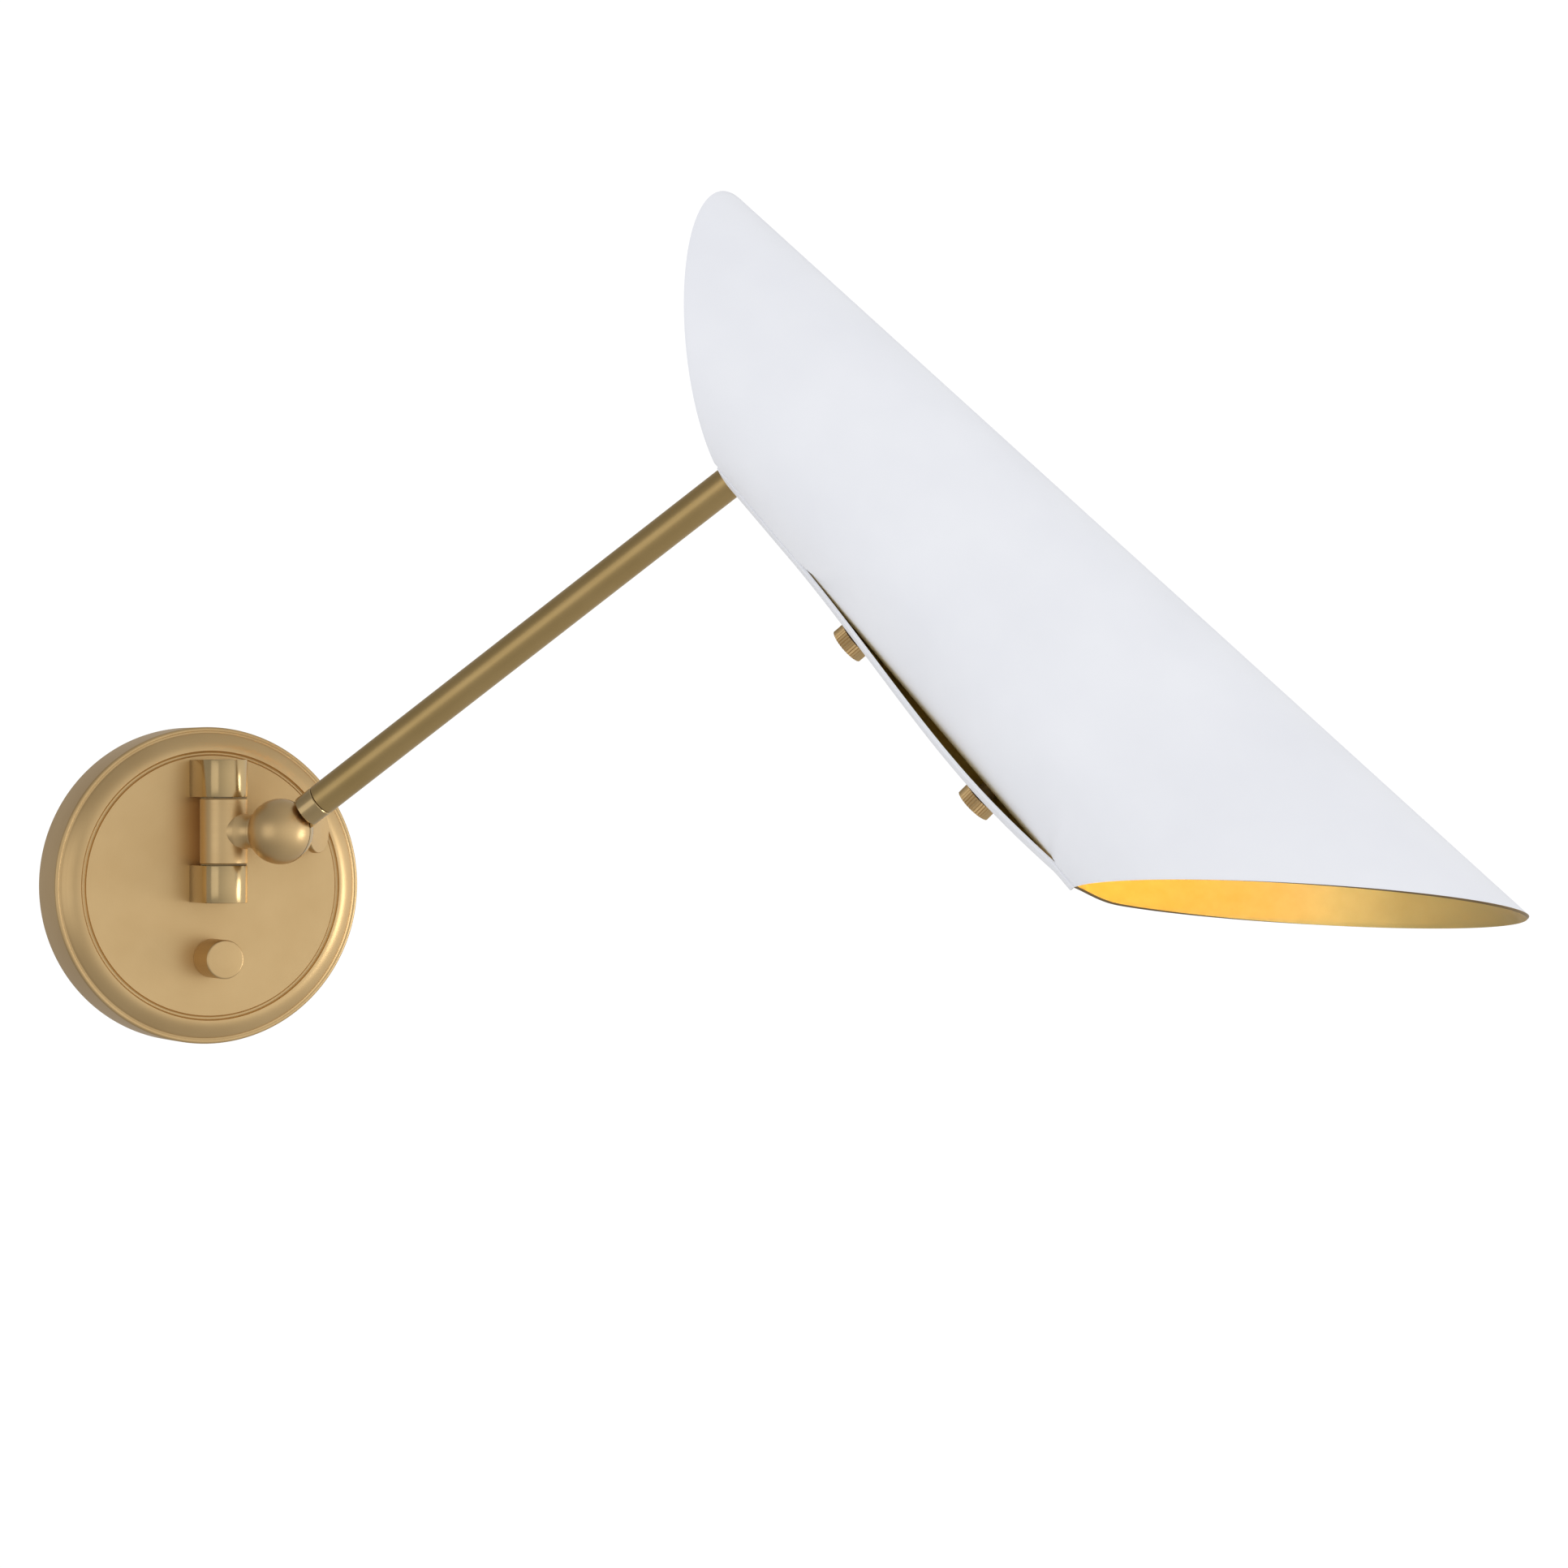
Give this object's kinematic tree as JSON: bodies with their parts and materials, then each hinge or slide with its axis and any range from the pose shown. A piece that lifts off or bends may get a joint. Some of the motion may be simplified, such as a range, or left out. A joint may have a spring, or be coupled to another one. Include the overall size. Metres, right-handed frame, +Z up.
{
  "type": "swing arm wall sconce",
  "caption": "Wall light with a round backplate, hinged and tilting straight arm, thumb key, dimmer knob and a long rolled sheet shade cut on the slant.",
  "frame": {"origin": "middle of the back face of the wall strap, on the wall plane", "axes": "+Y points into the wall, +Z up, +X to the right as seen from the room; the lamp stands out towards -Y"},
  "size_m": [0.4408, 0.4206, 0.3291],
  "materials": {
    "satin_brass": "brushed to a satin sheen and lacquered",
    "polished_brass": "polished bright",
    "steel": "zinc plated, slightly dull",
    "white_enamel": "satin white powder coat outside, gold leaf colour inside",
    "black_moulding": "moulded, slightly rough",
    "nylon": "natural nylon tinted brass, matte",
    "opal_glass": "opal white, smooth"
  },
  "bodies": {
    "wall": {"backplate": "satin_brass", "wall_strap": "steel", "side_screw_top": "satin_brass", "side_screw_bottom": "satin_brass", "hinge_ear_upper": "polished_brass", "hinge_ear_lower": "polished_brass", "hinge_washer_upper": "nylon", "hinge_washer_lower": "nylon", "ear_screw_upper": "steel", "ear_screw_lower": "steel", "hinge_pin": "steel", "dimmer_body": "black_moulding", "dimmer_nut": "steel"},
    "swing": {"swing_knuckle": "satin_brass"},
    "key": {"tilt_key": "satin_brass", "tilt_key_washer": "steel"},
    "arm": {"arm_knuckle": "polished_brass", "arm_tube": "satin_brass", "arm_end_eye": "satin_brass"},
    "shade": {"shade_fork": "satin_brass", "pivot_screw": "steel", "pivot_nut": "steel", "shade": "white_enamel", "seam_strap": "steel", "lap_stud_upper": "steel", "lap_stud_lower": "steel", "lap_spacer_upper": "nylon", "lap_spacer_lower": "nylon", "nipple": "steel", "nipple_lock_nut": "steel", "lampholder_cap": "black_moulding", "lampholder_body": "black_moulding", "lampholder_contact": "polished_brass", "lampholder_screw_shell": "polished_brass", "bulb_base": "steel", "bulb_glass": "opal_glass"},
    "nut_upper": {"thumb_nut_upper": "satin_brass"},
    "nut_lower": {"thumb_nut_lower": "satin_brass"},
    "dimmer": {"dimmer_shaft": "steel", "dimmer_knob": "satin_brass"}
  },
  "joints": [
    {"name": "arm_swing", "type": "hinge", "parent": "wall", "child": "swing", "pos_m": [0, -0.0406, 0.0219], "axis": [0, 0, 1], "range_deg": [-115, 1]},
    {"name": "arm_tilt", "type": "hinge", "parent": "swing", "child": "arm", "pos_m": [0.01737, -0.05858, 0.0219], "axis": [-0.7193, -0.6947, 0], "range_deg": [-60, 45]},
    {"name": "tilt_key_turn", "type": "hinge", "parent": "swing", "child": "key", "pos_m": [0.01737, -0.05858, 0.0219], "axis": [-0.7193, -0.6947, 0], "range_deg": [0, 90]},
    {"name": "shade_tilt", "type": "hinge", "parent": "arm", "child": "shade", "pos_m": [0.17292, -0.21966, 0.17963], "axis": [-0.7193, -0.6947, 0], "range_deg": [0, 60]},
    {"name": "thumb_nut_upper_turn", "type": "hinge", "parent": "shade", "child": "nut_upper", "pos_m": [0.18476, -0.23193, 0.09567], "axis": [-0.5417, 0.5609, -0.6261], "range_deg": [0, 360]},
    {"name": "thumb_nut_lower_turn", "type": "hinge", "parent": "shade", "child": "nut_lower", "pos_m": [0.21923, -0.26762, 0.03598], "axis": [-0.5031, 0.521, -0.6896], "range_deg": [0, 360]},
    {"name": "dimmer_turn", "type": "hinge", "parent": "wall", "child": "dimmer", "pos_m": [0, -0.026, -0.029], "axis": [0, -1, 0], "range_deg": [0, 270]}
  ]
}
